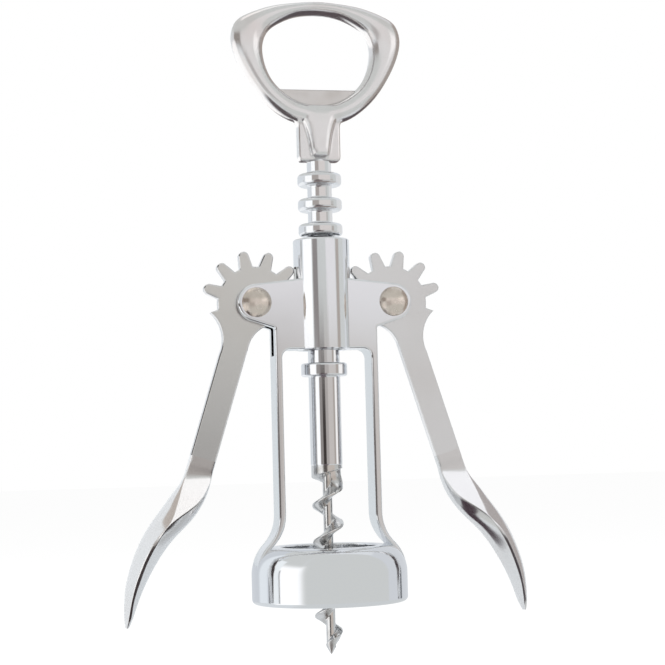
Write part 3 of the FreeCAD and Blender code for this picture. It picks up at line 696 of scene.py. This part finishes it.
rings = piece("rack_rings", [rack()], "rack", "rack_sleeve", turned_chrome)
shaft = piece("screw_shaft", [screw_shaft()], "screw", "screw", turned_chrome)
auger = piece("worm_auger", [worm()], "screw", "screw", worm_chrome,
              crease=60.0, fuse=2e-5)
pin = rivet()
rivets = [piece("rivet_left", [pin], "frame", "left_rivet", rivet_nickel),
          piece("rivet_right", [mirrored(pin)], "frame", "right_rivet", rivet_nickel)]
gear = moved(lever_head(), -PIVOT_X, PIVOT_Z)
grip = moved(lever_arm(), -PIVOT_X, PIVOT_Z)
gears, grips = [], []
for side, gear_shell, grip_shell in (("left", gear, grip), ("right", mirrored(gear), mirrored(grip))):
    body = side + "_lever"
    gears.append(piece("lever_" + side + "_gear", [gear_shell], body, body, lever_chrome))
    grips.append(piece("lever_" + side + "_grip", [grip_shell], body, body, lever_chrome,
                       crease=24.0))
casting = piece("frame_casting", frame_shells(), "frame", "frame", frame_chrome)
skirt = piece("frame_bell", [bell()], "frame", "frame", frame_chrome)
ring = piece("ring_handle", [handle_ring()] + handle_stem(), "screw", "handle",
             handle_chrome)
blended(ring, 0.3, 8)
ledge = piece("cap_ledge", [handle_ledge()], "screw", "handle", ledge_chrome)


# ---------------------------------------------------------------- camera, floor and studio
def camera():
    """Long lens a little left of the front and level with the legs' middle, leaning as the photograph."""
    azimuth, pitch, roll = (math.radians(a) for a in (CAMERA_TURN, CAMERA_PITCH, CAMERA_ROLL))
    right = np.array([math.cos(azimuth), -math.sin(azimuth), 0.0])
    ahead = np.array([math.sin(azimuth) * math.cos(pitch), math.cos(azimuth) * math.cos(pitch),
                      math.sin(pitch)])
    up = np.cross(right, ahead)
    side = math.cos(roll) * right + math.sin(roll) * up
    rise = -math.sin(roll) * right + math.cos(roll) * up
    data = bpy.data.cameras.new("camera")
    data.sensor_fit, data.sensor_width = "HORIZONTAL", SENSOR_W
    data.lens = FOCAL_PIXELS / PICTURE_PIXELS * SENSOR_W
    data.clip_start, data.clip_end = 0.01, 50.0
    eye = bpy.data.objects.new("camera", data)
    bpy.context.scene.collection.objects.link(eye)
    matrix = np.eye(4)
    matrix[:3, 0], matrix[:3, 1], matrix[:3, 2] = side, rise, -ahead
    matrix[:3, 3] = CAMERA_PLACE
    eye.matrix_world = Matrix(matrix.tolist())
    bpy.context.scene.camera = eye


def stage_mesh(name, shell, material):
    """Mesh object for the studio, from a shell in millimetres; it is no part of the corkscrew."""
    points, faces = shell
    mesh = bpy.data.meshes.new(name)
    mesh.from_pydata((np.asarray(points) * 0.001).tolist(), [], faces)
    obj = bpy.data.objects.new(name, mesh)
    bpy.context.scene.collection.objects.link(obj)
    mesh.materials.append(material)
    return obj


def seen_rays(tree):
    """1 for camera, glossy and transmission rays, 0 for the rays that light the object."""
    path = add(tree, "ShaderNodeLightPath")
    total = add(tree, "ShaderNodeMath", {"operation": "MAXIMUM"}, n0=path.outputs["Is Camera Ray"],
                n1=path.outputs["Is Glossy Ray"])
    return add(tree, "ShaderNodeMath", {"operation": "MAXIMUM"}, n0=total.outputs[0],
               n1=path.outputs["Is Transmission Ray"]).outputs[0]


def floor():
    """Pale floor well below the hanging worm, with the same white seen by the eye and the metal."""
    material, tree = blank("pale_paper_floor")
    paper = add(tree, "ShaderNodeBsdfDiffuse", {"Color": linear("#F4F4F4")})
    glow = add(tree, "ShaderNodeEmission", {"Color": linear("#FFFFFF")})
    strength = add(tree, "ShaderNodeMath", {"operation": "MULTIPLY"}, n0=seen_rays(tree))
    strength.inputs[1].default_value = 0.30
    tree.links.new(strength.outputs[0], glow.inputs["Strength"])
    both = add(tree, "ShaderNodeAddShader", n0=paper.outputs[0], n1=glow.outputs[0])
    out = add(tree, "ShaderNodeOutputMaterial")
    tree.links.new(both.outputs[0], out.inputs["Surface"])
    side = np.linspace(-FLOOR_HALF, FLOOR_HALF, 3)
    points = np.stack(np.meshgrid(side, side, indexing="ij") + [np.full((3, 3), FLOOR_Z)], -1)
    stage_mesh("floor", lattice(points), material).visible_glossy = False


# Studio round the object as the metal sees it. Each kind of piece has its own set of cards and flags,
# laid over the room in this order: degrees from the camera's direction (left is negative), degrees
# above the horizon, colour, softness in degrees
ROOM = [
    ("room", -400, 400, -95, 95, "#D4D7DA", 1),
    ("front wall", -42, 102, -95, 95, "#C4C6C5", 6),
    ("left ceiling", -190, -42, 24, 95, "#C4C6C5", 8),
    ("left wall", -178, -98, -45, 14, "#D2D6DA", 5),
    ("cool right", 100, 128, -30, 20, "#CDCFD2", 4),
    ("line right", 127, 136, -10, 18, "#6C6E72", 3),
]
OVERHEAD = [("lamp above", -190, -60, 60, 95, "#FAF9F8", 8)]
UNDERNEATH = [
    ("dark below", -178, 10, -80, -55, "#4A4248", 8),
    ("dark underneath", -400, 400, -120, -68, "#4A4248", 8),
]
BELL_CARDS = ROOM + [
    ("side left", -178, -98, -30, 50, "#C3C7CC", 5),
    ("side glow", -126, -103, -30, 50, "#DBE0E4", 8),
    ("side right", 96, 400, -30, 50, "#C7CACE", 4),
    ("foot", -400, 400, -95, -14, "#C5C8C9", 5),
    ("foot left", -178, -60, -60, -14, "#CED2D5", 5),
    ("white softbox", -90, -42, -26, 27, "#FFFFFF", 18),
    ("strip left", -97, -80, -13, 40, "#E6EAEC", 2),
    ("seam left", -101, -98, -13, 40, "#5C5E62", 2),
    ("softbox edge", -80, -78, -11, 14, "#6A6E72", 2),
    ("line right", 126, 131, -10, 34, "#56585C", 2),
]
STRAIGHT_CARDS = ROOM + OVERHEAD + [
    ("left floor", -168, -98, -42, -8, "#ECEEF0", 6),
    ("white softbox", -80, -40, -35, 13, "#FDFDFD", 4),
    ("seam left", -94, -86, 0, 9, "#A0A0A0", 3),
    ("low front", -24, 72, -4, 4, "#BEB8B4", 3),
    ("pale front", 18, 58, 4.5, 13, "#DAD8DA", 4),
    ("penumbra", -26, 22, -8, 4, "#A49E9B", 7),
    ("stand", -20, 2, -14, 3.5, "#3A3533", 5),
    ("stand upper", -36, -16, 3, 10.5, "#868180", 5),
    ("seam right", 61, 75, -3, 9.5, "#A69E98", 4),
] + UNDERNEATH
ROUND_CARDS = STRAIGHT_CARDS + [
    ("right clean", 98, 152, -24, 20, "#D6D6D6", 5),
    ("stand foot", -28, 16, -62, -10, "#6C6266", 6),
]
SCREW_CARDS = ROUND_CARDS + [
    ("white right", 78, 112, -6, 5, "#F2EFED", 4),
    ("white left", -88, -50, -8, 6, "#FFFFFF", 4),
    ("stand left", -40, -20, -8, 4, "#8A8583", 5),
]
WORM_CARDS = ROOM + [
    ("white softbox", -84, -30, -70, 60, "#FFFFFF", 8),
    ("stand", -24, 6, -40, 30, "#5A5452", 6),
    ("tan front", 6, 62, -40, 40, "#C9C0B9", 6),
    ("above", -400, 400, 60, 95, "#F2F4F6", 10),
    ("dark below", -60, 60, -95, -58, "#7C7472", 10),
]
FRAME_CARDS = STRAIGHT_CARDS + [
    ("leg wall", -190, -130, -20, 6, "#CBD0D3", 6),
    ("leg line", -104, -12, -8, 2.0, "#645E5B", 3),
]
RACK_CARDS = ROUND_CARDS + [
    ("tan front", -4, 58, 5, 16, "#D0CAC7", 4),
    ("stand above", -38, -4, 4, 16, "#A39C98", 5),
    ("under ring", -36, 78, -62, -26, "#877E7B", 6),
    ("under ring right", 68, 112, -50, -18, "#B5B0AD", 8),
]
GEAR_CARDS = ROOM + OVERHEAD + [
    ("left floor", -168, -98, -42, -8, "#ECEEF0", 6),
    ("white softbox", -80, -40, -35, 10, "#FDFDFD", 4),
    ("low front", -24, 72, -6, 4, "#C8C7C7", 3),
    ("pale front", 8, 58, 4.5, 16, "#CDCCCC", 4),
    ("seam right", 61, 75, -3, 9.5, "#A69E98", 4),
] + UNDERNEATH
LEFT_GEAR_CARDS = GEAR_CARDS + [
    ("upper front", -20, 27, 2.5, 12, "#C3C1BD", 3),
    ("penumbra", -20, 25, -6, 3.5, "#ABABA9", 5),
    ("shade", -20, 25, -9, 0.0, "#999795", 2),
    ("rim shade", -112, -10, 12, 42, "#3A3635", 4),
]
LEFT_GRIP_CARDS = ROOM + [
    ("outer light", -190, -52, -40, 95, "#E3E7EA", 6),
    ("brown band", -52, 3, 19, 66, "#B7B0AA", 6),
    ("white line", -64, -14, -40, 17, "#FFFFFF", 4),
    ("inner", 56, 190, -60, 60, "#CED3D7", 6),
    ("low front", -12, 40, -9, 3, "#A29D9A", 4),
    ("triangle", 4, 84, 10, 60, "#FDFDFD", 6),
    ("ridge flag", -16, 72, -62, -6, "#3E3839", 3),
] + UNDERNEATH
RIGHT_GRIP_CARDS = ROOM + OVERHEAD + [
    ("inner wall", -190, -34, -64, 22, "#D6DADD", 6),
    ("low front", -12, 60, -6, 5, "#C3C0BF", 4),
    ("outer", 66, 138, -30, 62, "#ABA6A5", 8),
    ("triangle", 8, 80, 10, 56, "#F4F5F8", 6),
    ("flag below", -104, 36, -72, -46.5, "#453A40", 5),
    ("ridge flag", -12, 40, -60, -9, "#453F42", 4),
]
RING_CARDS = ROOM + [
    ("lamp above", -190, -72, 58, 82, "#F6F5F4", 8),
    ("front", -38, 98, -14, 24, "#D7D5D5", 6),
    ("front shade", -34, 0, -24, 4, "#B0ADAC", 7),
    ("warm left", -100, -36, 3, 26, "#8C8682", 7),
    ("left light", -178, -88, -34, 9, "#FFFFFF", 5),
    ("left low", -92, -46, -40, -6, "#E6E4E3", 6),
    ("right lamp", 47, 86, 7, 24, "#F9F8F8", 5),
    ("right warm", 98, 182, -30, 42, "#9F9893", 8),
    ("dark left", -172, -62, -70, -39, "#554E50", 7),
    ("back low", 138, 400, -56, -6, "#554E51", 6),
    ("back low left", -400, -160, -56, -6, "#554E51", 6),
    ("floor", -400, 400, -95, -72, "#D5D3D2", 8),
]
PLATE_SHARE = 0.79  # of the light that chrome plate gives back, so the colours above are as seen in it


def sphere(radius):
    """Sphere round the object: points by direction from the camera's and by height, both in degrees."""
    azimuth, rise = np.meshgrid(np.arange(-180, 180.1, 1.0), np.arange(-90, 90.1, 1.0), indexing="ij")
    turn = math.atan2(CAMERA_PLACE[1], CAMERA_PLACE[0]) + np.radians(azimuth)
    lift = np.radians(rise)
    points = np.stack([np.cos(turn) * np.cos(lift), np.sin(turn) * np.cos(lift), np.sin(lift)], -1)
    return azimuth, rise, points * radius + [0, 0, CARDS_MIDDLE_Z]


def glow_material(name):
    """Light from the mesh's own painted colours, which lets what lies behind through."""
    material, tree = blank(name)
    paint = add(tree, "ShaderNodeAttribute", {"attribute_name": "paint"})
    glow = add(tree, "ShaderNodeEmission", Color=paint.outputs["Color"])
    clear = add(tree, "ShaderNodeBsdfTransparent")
    both = add(tree, "ShaderNodeAddShader", n0=glow.outputs[0], n1=clear.outputs[0])
    out = add(tree, "ShaderNodeOutputMaterial")
    tree.links.new(both.outputs[0], out.inputs["Surface"])
    return material


def for_metal_only(obj):
    """Seen by reflection and nothing else: no light on the floor and no shadow."""
    obj.visible_camera = obj.visible_diffuse = obj.visible_shadow = False


def backstop():
    """Black beyond the cards, so that the metal has nothing but the cards to show."""
    material, tree = blank("black_cloth")
    out = add(tree, "ShaderNodeOutputMaterial")
    dark = add(tree, "ShaderNodeEmission", {"Strength": 0.0})
    tree.links.new(dark.outputs[0], out.inputs["Surface"])
    for_metal_only(stage_mesh("studio_backstop", lattice(sphere(BACKSTOP_R)[2]), material))


def cards(name, patches, radius, pieces):
    """Sphere of light seen by these pieces alone, as flags and cards are set piece by piece: each patch
    is laid over the ones before it with a share that runs smoothly from 0 to 1 across its soft edge."""
    azimuth, rise, points = sphere(radius)
    colours = np.ones((azimuth.size, 4))
    for _, left, right, low, high, colour, soft in patches:
        sides = np.minimum(azimuth - left, right - azimuth)
        reach = np.minimum(sides, np.minimum(rise - low, high - rise)) / soft + 0.5
        share = np.clip(reach, 0, 1).reshape(-1, 1)
        seen = np.array(linear(colour)) / PLATE_SHARE
        colours += share * share * (3 - 2 * share) * (seen - colours)
    obj = stage_mesh("studio_" + name, lattice(points), glow_material("cards_for_" + name))
    attribute = obj.data.attributes.new("paint", "FLOAT_COLOR", "POINT")
    attribute.data.foreach_set("color", colours.astype(np.float32).reshape(-1))
    for_metal_only(obj)
    lit = bpy.data.collections.new("lit_by_" + name)
    for part in pieces:
        lit.objects.link(part)
    obj.light_linking.receiver_collection = lit


def lamp(name, x, y, z, width, power):
    """Square softbox aimed at the object's middle."""
    data = bpy.data.lights.new(name, "AREA")
    data.shape, data.size, data.energy = "SQUARE", width, power
    obj = bpy.data.objects.new(name, data)
    bpy.context.scene.collection.objects.link(obj)
    place = np.array([x, y, z])
    ahead = np.array([0.0, 0.0, 0.075]) - place
    ahead /= np.linalg.norm(ahead)
    right = np.cross(ahead, [0.0, 0.0, 1.0])
    right /= np.linalg.norm(right)
    matrix = np.eye(4)
    matrix[:3, 0], matrix[:3, 1], matrix[:3, 2] = right, np.cross(right, ahead), -ahead
    matrix[:3, 3] = place
    obj.matrix_world = Matrix(matrix.tolist())
    obj.visible_glossy = False


def world():
    """White surroundings: strength 1 where they are seen, a little less where they light."""
    surroundings = bpy.data.worlds.new("studio")
    bpy.context.scene.world = surroundings
    surroundings.use_nodes = True
    tree = surroundings.node_tree
    tree.nodes.clear()
    level = add(tree, "ShaderNodeMapRange", {"To Min": 0.75, "To Max": 1.0}, Value=seen_rays(tree))
    back = add(tree, "ShaderNodeBackground", {"Color": linear("#FFFFFF")}, Strength=level.outputs["Result"])
    out = add(tree, "ShaderNodeOutputWorld")
    tree.links.new(back.outputs[0], out.inputs["Surface"])


camera()
floor()
backstop()
STUDIO = [
    ("bell", BELL_CARDS, [skirt]),
    ("screw", SCREW_CARDS, [shaft]),
    ("worm", WORM_CARDS, [auger]),
    ("rack", RACK_CARDS, [rings]),
    ("frame", FRAME_CARDS, [casting]),
    ("ring", RING_CARDS, [ring, ledge] + rivets),
    ("left_gear", LEFT_GEAR_CARDS, gears[:1]),
    ("right_gear", GEAR_CARDS, gears[1:]),
    ("left_grip", LEFT_GRIP_CARDS, grips[:1]),
    ("right_grip", RIGHT_GRIP_CARDS, grips[1:]),
]
# Ten spheres at most: each lets through what lies behind, and a ray passes only so many clear walls
for number, (group, patches, pieces) in enumerate(STUDIO):
    cards(group, patches, CARDS_R + CARDS_STEP * number, pieces)
lamp("softbox_left", -1.05, -0.55, 0.35, 0.7, 6.0)
lamp("softbox_top", 0.2, -0.2, 1.3, 0.8, 5.0)
world()
bpy.context.scene.view_settings.view_transform = "Standard"
